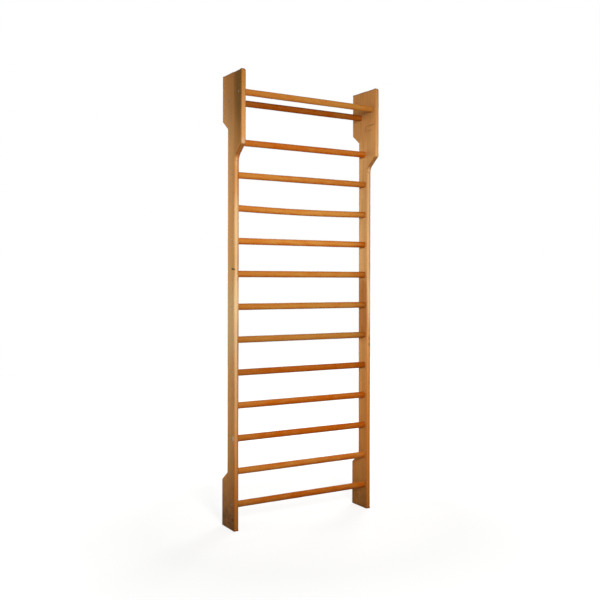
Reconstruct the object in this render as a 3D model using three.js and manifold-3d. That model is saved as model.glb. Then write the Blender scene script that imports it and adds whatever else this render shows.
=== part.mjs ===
// Swedish wall bars: two uprights, each a plank with blocks glued to its edges, joined by oval rungs
// whose round tenons sit in blind holes and are held by screws driven in from the outside.
// Millimetres. +X runs along the rungs, +Y towards the wall and +Z up.
// The origin is on the floor, midway between the uprights and midway from the head's front to the wall.

import * as THREE from "three";
import { mergeVertices } from "three/addons/utils/BufferGeometryUtils.js";
import Module from "manifold-3d";

const wasm = await Module();
wasm.setup();

// Overall sizes
const HEIGHT = 2500;
const WIDTH = 900;

// Uprights: the plank, and how far each glued block stands out from it
const UPRIGHT_THICKNESS = 30;
const STILE_DEPTH = 84;
const FRONT_BLOCK_DEPTH = 83;
const REAR_BLOCK_DEPTH = 68;
const FRONT_HEAD_LENGTH = 402;
const FRONT_SLOPE_DROP = 64;
const FRONT_CORNER_RADIUS = 12;
const FRONT_FILLET_RADIUS = 55;
const REAR_HEAD_LENGTH = 254;
const REAR_FOOT_LENGTH = 257;
const REAR_CHAMFER_DROP = 50;
const EDGE_RADIUS = 8;
const BACK_EDGE_RADIUS = 2;

// Rungs: their oval section, their round tenons and where they stand
const RUNG_SECTION_HEIGHT = 36;
const RUNG_SECTION_DEPTH = 30;
const TENON_DIAMETER = 22;
const TENON_LENGTH = 20;
const FIRST_RUNG_HEIGHT = 140;
const RUNG_PITCH = 180;
const RUNG_SETBACK = 28;
const TOP_RUNG_CLEARANCE = 350;
const HANG_RUNG_DROP = 120;
const HANG_RUNG_SETBACK = 33;
const REAR_RUNG_DROP = 154;
const REAR_RUNG_INSET = 16;
const BOWED_RUNG = 10;
const RUNG_BOW = 6;

// Screws through the outer faces into the tenons of every second rung
const SCREW_HEAD_DIAMETER = 9;
const SCREW_SHANK_DIAMETER = 5;
const SCREW_COUNTERSINK = 3;
const SCREW_POINT_LENGTH = 6;
const SCREW_LENGTH = 45;
const SCREW_SLOT_WIDTH = 1.4;
const SCREW_SLOT_DEPTH = 1.2;

// Dowels that hold each block to the plank beside the glue
const DOWEL_DIAMETER = 10;
const DOWEL_LENGTH = 50;
const HEAD_DOWEL_DROP = 60;
const FRONT_DOWEL_SPACING = 240;
const REAR_DOWEL_SPACING = 150;
const FOOT_DOWEL_HEIGHT = 60;

// Clearances: the thickness of a glue line, and the play round a tenon, dowel or screw
const GLUE_LINE = 0.3;
const FIT_GAP = 0.3;

// How finely round shapes are cut
const ARC_STEPS = 6;
const EDGE_STEPS = 3;
const RUNG_SIDES = 20;
const BOW_STEPS = 12;
const HOLE_SIDES = 12;
const SCREW_SIDES = 10;

// Planes and places that follow from the sizes above
const DEPTH = FRONT_BLOCK_DEPTH + STILE_DEPTH + REAR_BLOCK_DEPTH;
const HEAD_FRONT = -DEPTH / 2;
const STILE_FRONT = HEAD_FRONT + FRONT_BLOCK_DEPTH;
const STILE_REAR = STILE_FRONT + STILE_DEPTH;
const WALL_PLANE = DEPTH / 2;
const RUNG_LENGTH = WIDTH - 2 * UPRIGHT_THICKNESS - 2 * FIT_GAP;
const OVERRUN = 3 * EDGE_RADIUS;
const LADDER_HEIGHT = HEIGHT - TOP_RUNG_CLEARANCE - FIRST_RUNG_HEIGHT;
const RUNG_COUNT = Math.floor(LADDER_HEIGHT / RUNG_PITCH) + 1;

const varnishedPine = new THREE.MeshStandardMaterial({ color: 0xbd8a50, roughness: 0.42, metalness: 0 });
const varnishedPineBlock = new THREE.MeshStandardMaterial({ color: 0xb07c45, roughness: 0.42, metalness: 0 });
const varnishedAsh = new THREE.MeshStandardMaterial({ color: 0xc0772f, roughness: 0.36, metalness: 0 });
const beechDowel = new THREE.MeshStandardMaterial({ color: 0xd2b48c, roughness: 0.7, metalness: 0 });
const zincSteel = new THREE.MeshStandardMaterial({ color: 0x8d979c, roughness: 0.45, metalness: 1 });

// Solids: a closed three.js geometry becomes a manifold, and a finished manifold a geometry

function solidOf(geometry) {
  const bare = geometry.clone();
  bare.deleteAttribute("normal");
  bare.deleteAttribute("uv");
  const merged = mergeVertices(bare, 1e-4);
  const vertProperties = new Float32Array(merged.attributes.position.array);
  const triVerts = new Uint32Array(merged.index.array);
  return new wasm.Manifold(new wasm.Mesh({ numProp: 3, vertProperties, triVerts }));
}

function geometryOf(solid) {
  const mesh = solid.getMesh();
  const geometry = new THREE.BufferGeometry();
  geometry.setAttribute("position", new THREE.BufferAttribute(new Float32Array(mesh.vertProperties), 3));
  geometry.setIndex(new THREE.BufferAttribute(new Uint32Array(mesh.triVerts), 1));
  geometry.computeVertexNormals();
  return geometry;
}

function namedMesh(name, solid, material) {
  const mesh = new THREE.Mesh(geometryOf(solid), material);
  mesh.name = name;
  return mesh;
}

function boxBetween(low, high) {
  const size = new THREE.Vector3().subVectors(high, low);
  const centre = new THREE.Vector3().addVectors(low, high).multiplyScalar(0.5);
  return solidOf(new THREE.BoxGeometry(size.x, size.y, size.z).translate(centre.x, centre.y, centre.z));
}

// A cylinder along X from x = start to x = end, round the axis at (y, z).
function barAlongX(radius, start, end, y, z, sides) {
  const bar = new THREE.CylinderGeometry(radius, radius, end - start, sides);
  return bar.rotateZ(Math.PI / 2).translate((start + end) / 2, y, z);
}

// Outlines: corners [across, up, radius], each turned on an arc where its radius isn't zero

function outlineOf(corners) {
  const shape = new THREE.Shape();
  corners.forEach(([across, up, radius], i) => {
    const here = new THREE.Vector2(across, up);
    const before = new THREE.Vector2(...corners.at(i - 1));
    const after = new THREE.Vector2(...corners[(i + 1) % corners.length]);
    if (!radius) {
      if (i === 0) shape.moveTo(here.x, here.y);
      else shape.lineTo(here.x, here.y);
      return;
    }
    const back = before.sub(here).normalize();
    const ahead = after.sub(here).normalize();
    const halfAngle = Math.acos(back.dot(ahead)) / 2;
    const bisector = back.clone().add(ahead).normalize();
    const centre = here.clone().addScaledVector(bisector, radius / Math.sin(halfAngle));
    const start = here.clone().addScaledVector(back, radius / Math.tan(halfAngle));
    const end = here.clone().addScaledVector(ahead, radius / Math.tan(halfAngle));
    const clockwise = back.cross(ahead) > 0;
    shape.absarc(
      centre.x, centre.y, radius,
      start.sub(centre).angle(), end.sub(centre).angle(), clockwise,
    );
  });
  shape.closePath();
  return shape;
}

// An outline in Y and Z, made as thick as an upright along X, with its edges rounded on both faces.
function uprightBlank(corners, edgeRadius, edgeSteps) {
  const blank = new THREE.ExtrudeGeometry(outlineOf(corners), {
    depth: UPRIGHT_THICKNESS - 2 * edgeRadius,
    curveSegments: ARC_STEPS,
    bevelThickness: edgeRadius,
    bevelSize: edgeRadius,
    bevelOffset: -edgeRadius,
    bevelSegments: edgeSteps,
  });
  blank.translate(0, 0, edgeRadius);
  const axes = new THREE.Matrix4().makeBasis(
    new THREE.Vector3(0, 1, 0),
    new THREE.Vector3(0, 0, 1),
    new THREE.Vector3(1, 0, 0),
  );
  return solidOf(blank.applyMatrix4(axes));
}

// The front and top contour carries the wide rounding, and the back and the floor end the small one.
function wholeUpright() {
  const headCorner = HEIGHT - FRONT_HEAD_LENGTH;
  const fromFront = uprightBlank([
    [STILE_FRONT, -OVERRUN, 0],
    [WALL_PLANE + OVERRUN, -OVERRUN, 0],
    [WALL_PLANE + OVERRUN, HEIGHT, 0],
    [HEAD_FRONT, HEIGHT, FRONT_CORNER_RADIUS],
    [HEAD_FRONT, headCorner, FRONT_CORNER_RADIUS],
    [STILE_FRONT, headCorner - FRONT_SLOPE_DROP, FRONT_FILLET_RADIUS],
  ], EDGE_RADIUS, EDGE_STEPS);
  const headFoot = HEIGHT - REAR_HEAD_LENGTH;
  const fromBack = uprightBlank([
    [HEAD_FRONT - OVERRUN, 0, 0],
    [WALL_PLANE, 0, 0],
    [WALL_PLANE, REAR_FOOT_LENGTH, 0],
    [STILE_REAR, REAR_FOOT_LENGTH + REAR_CHAMFER_DROP, 0],
    [STILE_REAR, headFoot - REAR_CHAMFER_DROP, 0],
    [WALL_PLANE, headFoot, 0],
    [WALL_PLANE, HEIGHT + OVERRUN, 0],
    [HEAD_FRONT - OVERRUN, HEIGHT + OVERRUN, 0],
  ], BACK_EDGE_RADIUS, 1);
  return fromFront.intersect(fromBack);
}

// The part of an upright between two depths and two heights.
function sliceOf(upright, front, back, bottom, top) {
  const low = new THREE.Vector3(-OVERRUN, front, bottom);
  const high = new THREE.Vector3(UPRIGHT_THICKNESS + OVERRUN, back, top);
  return upright.intersect(boxBetween(low, high));
}

// Rungs: each has a name, an axis at (y, z), a sag at mid-span and perhaps screws in its ends

function rungPlaces() {
  const places = [];
  for (let n = 1; n <= RUNG_COUNT; n += 1) {
    places.push({
      name: `rung_${n}`,
      y: STILE_FRONT + RUNG_SETBACK,
      z: FIRST_RUNG_HEIGHT + (n - 1) * RUNG_PITCH,
      bow: n === BOWED_RUNG ? RUNG_BOW : 0,
      screwed: n % 2 === 1,
      host: "stile",
    });
  }
  places.push({
    name: "rear_rung",
    y: STILE_REAR - REAR_RUNG_INSET,
    z: HEIGHT - REAR_RUNG_DROP,
    bow: 0,
    screwed: true,
    host: "stile",
  });
  places.push({
    name: "hang_rung",
    y: HEAD_FRONT + HANG_RUNG_SETBACK,
    z: HEIGHT - HANG_RUNG_DROP,
    bow: 0,
    screwed: true,
    host: "front_head_block",
  });
  return places;
}

// The oval bar sags as a parabola between its shoulders, and its tenons stay on the axis.
function rungSolid({ y, z, bow, screwed }) {
  const steps = bow ? BOW_STEPS : 1;
  const body = new THREE.CylinderGeometry(0.5, 0.5, RUNG_LENGTH, RUNG_SIDES, steps);
  body.rotateZ(Math.PI / 2).scale(1, RUNG_SECTION_DEPTH, RUNG_SECTION_HEIGHT);
  const points = body.attributes.position;
  for (let i = 0; i < points.count; i += 1) {
    const along = points.getX(i) / (RUNG_LENGTH / 2);
    points.setZ(i, points.getZ(i) - bow * (1 - along * along));
  }
  const shoulder = RUNG_LENGTH / 2;
  const reach = shoulder + FIT_GAP + TENON_LENGTH;
  let rung = solidOf(body.translate(0, y, z));
  for (const side of [-1, 1]) {
    const ends = [side * (shoulder - TENON_LENGTH), side * reach].sort((a, b) => a - b);
    rung = rung.add(solidOf(barAlongX(TENON_DIAMETER / 2, ...ends, y, z, HOLE_SIDES)));
  }
  if (screwed) {
    const pilot = screwShape(FIT_GAP, 0).translate(-WIDTH / 2, y, z);
    const otherPilot = pilot.clone().rotateZ(Math.PI).translate(0, 2 * y, 0);
    rung = rung.subtract(solidOf(pilot)).subtract(solidOf(otherPilot));
  }
  return rung;
}

// A countersunk screw, or the hole for it when it is swollen by a gap, along +X from its head at x = 0.
function screwShape(gap, headroom) {
  const head = SCREW_HEAD_DIAMETER / 2 + gap;
  const shank = SCREW_SHANK_DIAMETER / 2 + gap;
  const profile = [
    [0, SCREW_LENGTH + gap],
    [shank, SCREW_LENGTH - SCREW_POINT_LENGTH],
    [shank, SCREW_COUNTERSINK],
    [head, 0],
    ...(headroom ? [[head, -headroom]] : []),
    [0, -headroom],
  ].map(([radius, along]) => new THREE.Vector2(radius, -along));
  return new THREE.LatheGeometry(profile, SCREW_SIDES).rotateZ(Math.PI / 2);
}

function screwSolid() {
  const slot = boxBetween(
    new THREE.Vector3(-OVERRUN, -SCREW_HEAD_DIAMETER, -SCREW_SLOT_WIDTH / 2),
    new THREE.Vector3(SCREW_SLOT_DEPTH, SCREW_HEAD_DIAMETER, SCREW_SLOT_WIDTH / 2),
  );
  return solidOf(screwShape(0, 0)).subtract(slot);
}

// Dowels: each joins one block to the plank, centred on the glue line

function dowelPlaces() {
  const headZ = HEIGHT - HEAD_DOWEL_DROP;
  const pair = (block, y, first, spacing) => [0, 1].map((k) => ({
    name: `${block}_dowel_${k + 1}`,
    host: block,
    y,
    z: first + k * spacing,
  }));
  return [
    ...pair("front_head_block", STILE_FRONT - GLUE_LINE / 2, headZ, -FRONT_DOWEL_SPACING),
    ...pair("rear_head_block", STILE_REAR + GLUE_LINE / 2, headZ, -REAR_DOWEL_SPACING),
    ...pair("rear_foot_block", STILE_REAR + GLUE_LINE / 2, FOOT_DOWEL_HEIGHT, REAR_DOWEL_SPACING),
  ];
}

function dowelShape({ y, z }, gap) {
  const dowel = new THREE.CylinderGeometry(
    DOWEL_DIAMETER / 2 + gap, DOWEL_DIAMETER / 2 + gap, DOWEL_LENGTH + 2 * gap, HOLE_SIDES,
  );
  return dowel.translate(UPRIGHT_THICKNESS / 2, y, z);
}

// One upright in its own frame, with x = 0 on its outer face and +X towards the other upright.
function uprightGroup(side, rungs) {
  const whole = wholeUpright();
  const middle = HEIGHT / 2;
  const above = HEIGHT + OVERRUN;
  const behind = WALL_PLANE + OVERRUN;
  const pieces = {
    stile: sliceOf(whole, STILE_FRONT, STILE_REAR, -OVERRUN, above),
    front_head_block: sliceOf(whole, HEAD_FRONT - OVERRUN, STILE_FRONT - GLUE_LINE, middle, above),
    rear_head_block: sliceOf(whole, STILE_REAR + GLUE_LINE, behind, middle, above),
    rear_foot_block: sliceOf(whole, STILE_REAR + GLUE_LINE, behind, -OVERRUN, middle),
  };
  const materials = { stile: varnishedPine };
  const group = new THREE.Group();

  for (const rung of rungs) {
    const holeBottom = UPRIGHT_THICKNESS - TENON_LENGTH - FIT_GAP;
    const mouth = UPRIGHT_THICKNESS + OVERRUN;
    const hole = barAlongX(TENON_DIAMETER / 2 + FIT_GAP, holeBottom, mouth, rung.y, rung.z, HOLE_SIDES);
    pieces[rung.host] = pieces[rung.host].subtract(solidOf(hole));
    if (!rung.screwed) continue;
    const screwHole = screwShape(FIT_GAP, OVERRUN).translate(0, rung.y, rung.z);
    pieces[rung.host] = pieces[rung.host].subtract(solidOf(screwHole));
    const screw = namedMesh(`${side}_${rung.name}_screw`, screwSolid(), zincSteel);
    screw.position.set(0, rung.y, rung.z);
    group.add(screw);
  }

  for (const dowel of dowelPlaces()) {
    const socket = solidOf(dowelShape(dowel, FIT_GAP));
    pieces.stile = pieces.stile.subtract(socket);
    pieces[dowel.host] = pieces[dowel.host].subtract(socket);
    group.add(namedMesh(`${side}_${dowel.name}`, solidOf(dowelShape(dowel, 0)), beechDowel));
  }

  for (const [name, solid] of Object.entries(pieces)) {
    group.add(namedMesh(`${side}_${name}`, solid, materials[name] ?? varnishedPineBlock));
  }
  return group;
}

// The whole ladder: the right upright is the left one mirrored
const wallBars = new THREE.Group();
const rungs = rungPlaces();

const left = uprightGroup("left", rungs);
left.position.x = -WIDTH / 2;
const right = uprightGroup("right", rungs);
right.position.x = WIDTH / 2;
right.scale.x = -1;
wallBars.add(left, right);

for (const rung of rungs) {
  wallBars.add(namedMesh(rung.name, rungSolid(rung), varnishedAsh));
}

export default wallBars;
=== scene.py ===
"""Swedish wall bars: a varnished wooden gym ladder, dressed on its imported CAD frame.

Metres throughout. +X runs along the rungs, +Y towards the wall and +Z up, with the origin on the floor.
"""

import math
from functools import partial
from typing import NamedTuple

import bmesh
import bpy
import numpy as np
from mathutils import Matrix, Vector


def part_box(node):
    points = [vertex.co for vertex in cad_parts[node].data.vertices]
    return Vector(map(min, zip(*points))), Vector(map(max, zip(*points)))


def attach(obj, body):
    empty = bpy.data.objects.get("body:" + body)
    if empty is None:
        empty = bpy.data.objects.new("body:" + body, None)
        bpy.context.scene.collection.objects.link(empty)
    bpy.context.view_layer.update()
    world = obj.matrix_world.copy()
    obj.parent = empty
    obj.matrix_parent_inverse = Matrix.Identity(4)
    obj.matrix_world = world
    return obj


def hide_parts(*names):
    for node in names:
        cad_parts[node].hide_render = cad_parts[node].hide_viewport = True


bl_info = {
    "name": "Swedish Wall Bars",
    "version": (1, 0, 0),
    "blender": (4, 5, 0),
    "location": "3D View > Sidebar > Wall Bars",
    "description": "Builds a varnished wooden gym ladder on its CAD frame, with a plain studio",
    "category": "Object",
}

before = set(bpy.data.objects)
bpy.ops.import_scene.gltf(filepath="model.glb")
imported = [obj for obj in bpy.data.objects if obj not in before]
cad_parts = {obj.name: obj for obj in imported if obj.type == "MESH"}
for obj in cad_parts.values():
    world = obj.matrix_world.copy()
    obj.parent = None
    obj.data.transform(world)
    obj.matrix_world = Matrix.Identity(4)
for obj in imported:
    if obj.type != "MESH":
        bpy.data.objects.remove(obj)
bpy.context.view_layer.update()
STILE_LOW, STILE_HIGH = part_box("left_stile")
HEAD_LOW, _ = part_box("left_front_head_block")
_, WALL_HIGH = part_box("left_rear_head_block")
OUTER = -STILE_LOW.x
THICK = STILE_HIGH.x - STILE_LOW.x

SIDES = {"left": -1, "right": 1}
RUNGS = sorted(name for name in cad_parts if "rung" in name and "screw" not in name)
SCREWS = sorted(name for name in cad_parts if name.endswith("_screw"))
DOWELS = sorted(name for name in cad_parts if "_dowel_" in name)
SEED = 7
PALE_BAND_HEIGHT = 1.45  # middle of the pale band, rubbed by hands and painted as sheen, at the middle of the rungs
RING_AT_SCALE_ONE = 2 * math.pi / 20  # gap between the rings of a wave texture, before its scale
PLANK_RINGS, BLOCK_RINGS = 0.0045, 0.006  # gaps between the pine's growth rings
CUT_PAST = 0.02  # how far a cutter reaches past a face
SHARP = math.radians(35)
WHITE = (1, 1, 1, 1)
SOFT_BOXES = (  # name, place, target, size, watts and spread in degrees
    ("key_soft_box", (-1.3, -4.2, 2.3), (0, 0, 1.4), 1.0, 21, 50),
    ("side_soft_box", (-4.5, 2.1, 1.6), (0, 0, 1.55), 2.0, 5.9, 42),
    ("back_soft_box", (3.8, 3.0, 1.9), (0, 0, 1.4), 2.0, 42, 110),
)


def linear(hex_colour):
    """An sRGB hex colour, such as "C08A4E", as linear red, green and blue."""
    srgb = np.array([int(hex_colour[i:i + 2], 16) for i in (0, 2, 4)]) / 255
    return tuple(np.where(srgb <= 0.04045, srgb / 12.92, ((srgb + 0.055) / 1.055) ** 2.4))


def length_property(name, description, default):
    """A size in metres that the sidebar shows with its unit."""
    return bpy.props.FloatProperty(name=name, description=description, default=default, min=0, unit="LENGTH")


def colour_property(name, description, hex_colour):
    """A colour that the sidebar shows as a swatch."""
    return bpy.props.FloatVectorProperty(
        name=name, description=description, default=linear(hex_colour), size=3, min=0, max=1, subtype="COLOR",
    )


class WallBarsUprightSizes(bpy.types.PropertyGroup):
    """Sizes of the two uprights."""

    arris: length_property("Arris", "Rounding along the front and the top", 0.008)
    crown: length_property("Crown", "Rounding of the top at the front, where hands wear it", 0.013)
    back_arris: length_property("Back arris", "Rounding along the back and the floor end", 0.002)
    front_head: length_property("Front head", "Height of the front block's straight face", 0.402)
    front_slope: length_property("Front slope", "Drop of the slope under the front block", 0.064)
    front_corner: length_property("Front corner", "Rounding where the face turns into the slope", 0.012)
    front_fillet: length_property("Front fillet", "Hollow where the slope runs out on the plank", 0.055)
    rear_head: length_property("Rear head", "Height of the rear head block's wall face", 0.254)
    rear_foot: length_property("Rear foot", "Height of the rear foot block's wall face", 0.257)
    rear_chamfer: length_property("Rear chamfer", "Height of the rear blocks' chamfers", 0.050)
    glue_line: length_property("Glue line", "Gap between a block and the plank", 0.0003)


class WallBarsRungSizes(bpy.types.PropertyGroup):
    """Sizes of the rungs, their tenons and what holds them."""

    height: length_property("Height", "Height of the oval section", 0.036)
    depth: length_property("Depth", "Depth of the oval section", 0.030)
    tenon: length_property("Tenon", "Diameter of the round tenon", 0.022)
    tenon_length: length_property("Tenon length", "How far the tenon goes into the upright", 0.020)
    fit_gap: length_property("Fit gap", "Play round a tenon, dowel or screw", 0.0003)
    shoulder: length_property("Shoulder", "Rounding where the oval meets the upright", 0.0012)
    screw_head: length_property("Screw head", "Diameter of a screw's head", 0.009)
    screw_shank: length_property("Screw shank", "Diameter of a screw's shank", 0.005)
    screw_core: length_property("Screw core", "Diameter between a screw's threads", 0.0036)
    screw_pitch: length_property("Thread pitch", "Advance of the thread in one turn", 0.0018)
    countersink: length_property("Countersink", "Depth of a screw's cone", 0.003)
    slot_width: length_property("Slot width", "Width of the driver slot", 0.0014)
    slot_depth: length_property("Slot depth", "Depth of the driver slot", 0.0012)


class WallBarsColours(bpy.types.PropertyGroup):
    """Colours of the woods, the metal and the studio."""

    pine_early: colour_property("Pine, early wood", "Pale part of a pine growth ring", "EDB474")
    pine_late: colour_property("Pine, late wood", "Dark part of a pine growth ring", "D19B5B")
    # Varnish also paints shade towards the head and the foot.
    varnish: colour_property("Varnish", "What old varnish lets through where it is deep", "FFE2BC")
    # Arris also paints shade on the arrises, where they turn away from the light.
    arris: colour_property("Arris", "What old varnish leaves of the colour on an arris", "CC9A6C")
    end_grain: colour_property("End grain", "What a cut across the grain leaves of the colour", "D0BCA5")
    stain: colour_property("Stain", "A run of thick varnish", "984E0A")
    # Rubbed edge also paints sheen on the narrow edges and at mid height.
    rubbed: colour_property("Rubbed edge", "Pale wood of the narrow edges", "DABC8C")
    # Bare wood also paints a glint on the left front edge.
    bare_and_glint: colour_property("Bare wood", "Pine where the varnish has chipped off", "D8C0A0")
    knot: colour_property("Knot", "Heart of a knot, and the seam of a check", "4A2A12")
    # This dirt colour also paints shade: on the broad faces towards the front, and towards the foot.
    grime_and_shade: colour_property("Grime", "Dirt worked into the foot, the glue seams and the scuffs", "482A0C")
    # Olive paints shade along the rounded top, and darkens the front and top of the left head.
    olive: colour_property("Olive", "Darkened varnish at the top of the head", "54400A")
    rung_early: colour_property("Rung, early wood", "Pale part of the ash rungs under varnish", "C2843D")
    rung_late: colour_property("Rung, late wood", "Dark part of the ash rungs under varnish", "AA6E2A")
    # Rung varnish also paints shade on the rungs' tops, bottoms, undersides and right ends.
    rung_varnish: colour_property("Rung varnish", "What their varnish lets through where deep", "F7B34B")
    dowel: colour_property("Dowel", "Bare beech", "D8B98E")
    zinc: colour_property("Zinc", "Dull zinc plating on steel", "788985")
    floor: colour_property("Floor", "Pale studio floor", "B4B4B2")


class WallBarsSettings(bpy.types.PropertyGroup):
    """Everything a user would change."""

    upright: bpy.props.PointerProperty(type=WallBarsUprightSizes, name="Uprights", description="Their sizes")
    rung: bpy.props.PointerProperty(type=WallBarsRungSizes, name="Rungs", description="Their sizes")
    colours: bpy.props.PointerProperty(type=WallBarsColours, name="Colours", description="Wood and metal")


# Shapes: stacks of rings, as arrays of ring, point and coordinate


def loft(rings):
    """Joins a stack of equal rings with quads and closes both ends with one flat face each."""
    count, around = rings.shape[:2]
    index = np.arange(count * around).reshape(count, around)
    ahead = np.roll(index, -1, axis=1)
    quads = np.stack([index[:-1], ahead[:-1], ahead[1:], index[1:]], axis=-1).reshape(-1, 4)
    return rings.reshape(-1, 3), quads.tolist() + [index[0, ::-1].tolist(), index[-1].tolist()]


def joined(solids):
    """Several lofted solids as one list of points and faces."""
    points = []
    faces = []
    start = 0
    for solid_points, solid_faces in solids:
        points.append(solid_points)
        faces.extend([[i + start for i in face] for face in solid_faces])
        start += len(solid_points)
    return np.concatenate(points), faces


def closed_mesh(name, points, faces):
    """A mesh of those points and faces, with every face turned outwards."""
    mesh = bpy.data.meshes.new(name)
    mesh.from_pydata(points, [], faces)
    build = bmesh.new()
    build.from_mesh(mesh)
    bmesh.ops.recalc_face_normals(build, faces=build.faces)
    build.to_mesh(mesh)
    build.free()
    return mesh


def turned(profile, centre, sides, axis):
    """Rings of a turned shape: profile rows are (along, radius), and the axis is 0 for X or 1 for Y.

    The point at angle t of row (s, r) is the centre plus s along the axis, r cos t and r sin t across it.
    """
    along, radius = np.asarray(profile, float).T[:, :, None]
    turn = np.linspace(0, 2 * np.pi, sides, endpoint=False)
    across = [radius * np.cos(turn), radius * np.sin(turn)]
    across.insert(axis, np.broadcast_to(along, across[0].shape))
    return np.stack(across, axis=-1) + np.asarray(centre)


def box_solid(low, high):
    """A box as two square rings."""
    (x0, y0, z0), (x1, y1, z1) = low, high
    ring = np.array([[x0, y0], [x1, y0], [x1, y1], [x0, y1]])
    rings = [np.column_stack([ring, np.full(4, z)]) for z in (z0, z1)]
    return loft(np.array(rings))


def ripple(along, waves, rng):
    """Slow unevenness from -1 to 1: the mean of sines with the given wavelengths and seeded phases."""
    phase = rng.uniform(0, 2 * np.pi, len(waves))
    return np.mean(np.sin(2 * np.pi * np.asarray(along)[..., None] / np.asarray(waves) + phase), axis=-1)


def placed(name, data):
    """A new object in the scene."""
    thing = bpy.data.objects.new(name, data)
    bpy.context.scene.collection.objects.link(thing)
    return thing


def cut(mesh, tool, operation):
    """The mesh after a boolean with a tool mesh: DIFFERENCE removes the tool, INTERSECT keeps its inside."""
    body = placed("cut_body", mesh)
    cutter = placed("cut_tool", tool)
    modifier = body.modifiers.new("cut", "BOOLEAN")
    modifier.operation = operation
    modifier.solver = "EXACT"
    modifier.use_self = True
    modifier.object = cutter
    depsgraph = bpy.context.evaluated_depsgraph_get()
    result = bpy.data.meshes.new_from_object(body.evaluated_get(depsgraph))
    bpy.data.objects.remove(body)
    bpy.data.objects.remove(cutter)
    bpy.data.meshes.remove(tool)
    if not result.polygons:
        raise RuntimeError(f"the {operation.lower()} left nothing of {mesh.name}")
    return result


def mesh_points(mesh):
    """A mesh's points as an array."""
    points = np.empty(len(mesh.vertices) * 3, np.float32)
    mesh.vertices.foreach_get("co", points)
    return points.reshape(-1, 3)


def point_attribute(mesh, name, kind, values):
    """Stores one value or vector for each point, for the materials to read."""
    attribute = mesh.attributes.get(name) or mesh.attributes.new(name, kind, "POINT")
    field = "vector" if kind == "FLOAT_VECTOR" else "value"
    attribute.data.foreach_set(field, np.ascontiguousarray(values, np.float32).ravel())


def finished(name, node, mesh, material, grain=None, tone=1.0):
    """A piece that stands for a CAD node and rides on the one body.

    Grain is (pith, direction): the wood's own coordinates are the place relative to the pith, turned so that
    the third one runs along the grain. Tone is how dark this stick is among its like.
    """
    mesh.name = name
    mesh.materials.clear()
    mesh.materials.append(material)
    if grain:
        pith, direction = grain
        turn = np.array(Vector(direction).to_track_quat("Z", "Y").to_matrix())
        point_attribute(mesh, "grain", "FLOAT_VECTOR", (mesh_points(mesh) - np.asarray(pith)) @ turn)
        point_attribute(mesh, "tone", "FLOAT", np.full(len(mesh.vertices), tone))
    mesh.shade_smooth()
    mesh.set_sharp_from_angle(angle=SHARP)
    piece = placed(name, mesh)
    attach(piece, "root")
    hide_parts(node)


# Uprights


def mitred(first, second, first_inset, second_inset):
    """The step m inwards that solves m.n = inset for the normals of the runs before and after a point."""
    shared = np.sum(first * second, axis=1)
    bent = shared < 0.999
    scale = np.where(bent, 1 - shared**2, 1)
    along_first = np.where(bent, (first_inset - shared * second_inset) / scale, first_inset)
    along_second = np.where(bent, (second_inset - shared * first_inset) / scale, 0)
    return along_first[:, None] * first + along_second[:, None] * second


def outline(corners, rng):
    """Points round a closed outline, with each one's mitre, its mitre past the arris and its arris radius.

    A corner is (y, z, turning radius, arris radius of the run that leaves it), and it turns on the arc of its
    radius that touches both runs. The arris radius is uneven by a tenth, as on wood that has been knocked.
    """
    arc_step, run_step = 0.06, 0.03  # radians and metres between points
    margin, past = 0.003, 0.0015
    knock, knock_waves = 0.1, (0.9, 0.37, 0.16, 0.07)
    table = np.array(corners)
    place, turning, arris = table[:, :2], table[:, 2], table[:, 3]
    run = np.roll(place, -1, axis=0) - place
    heading = run / np.linalg.norm(run, axis=1)[:, None]
    before = np.roll(heading, 1, axis=0)
    cross = before[:, 0] * heading[:, 1] - before[:, 1] * heading[:, 0]
    bend = np.arctan2(cross, np.sum(before * heading, axis=1))
    trim = turning * np.tan(np.abs(bend) / 2)
    inward = np.column_stack([-heading[:, 1], heading[:, 0]])
    samples = []
    for i in range(len(corners)):
        j = (i + 1) % len(corners)
        if turning[i]:
            side = math.copysign(1, bend[i])
            start = place[i] - trim[i] * before[i]
            centre = start + side * turning[i] * inward[i - 1]
            angle = np.linspace(0, bend[i], max(4, int(abs(bend[i]) / arc_step)))[:-1]
            normal = np.cos(angle)[:, None] * inward[i - 1] - np.sin(angle)[:, None] * before[i]
            points = centre - side * turning[i] * normal
            samples.append(np.column_stack([points, normal, normal, np.full((len(points), 2), arris[i])]))
        length = np.linalg.norm(run[i]) - trim[i] - trim[j]
        first_clear, last_clear = (margin + 1.2 * max(arris[i], arris[k]) for k in (i - 1, j))
        count = max(2, int((length - first_clear - last_clear) / run_step))
        along = np.concatenate([[0], np.linspace(first_clear, length - last_clear, count)])
        points = place[i] + (trim[i] + along)[:, None] * heading[i]
        constant = [*inward[i], *inward[i], arris[i], arris[i]]
        rows = np.column_stack([points, np.tile(constant, (len(points), 1))])
        if not turning[i]:
            rows[0, 2:4] = inward[i - 1]
            rows[0, 6] = arris[i - 1]
        samples.append(rows)
    rows = np.concatenate(samples)
    points, first, second = rows[:, 0:2], rows[:, 2:4], rows[:, 4:6]
    step = np.linalg.norm(np.diff(points, axis=0, prepend=points[:1]), axis=1)
    knocks = 1 + knock * ripple(np.cumsum(step), knock_waves, rng)
    r1, r2 = rows[:, 6] * knocks, rows[:, 7] * knocks
    edge, inside = (mitred(first, second, r1 + more, r2 + more) for more in (0, past))
    return points, edge, inside, np.minimum(r1, r2)


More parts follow.
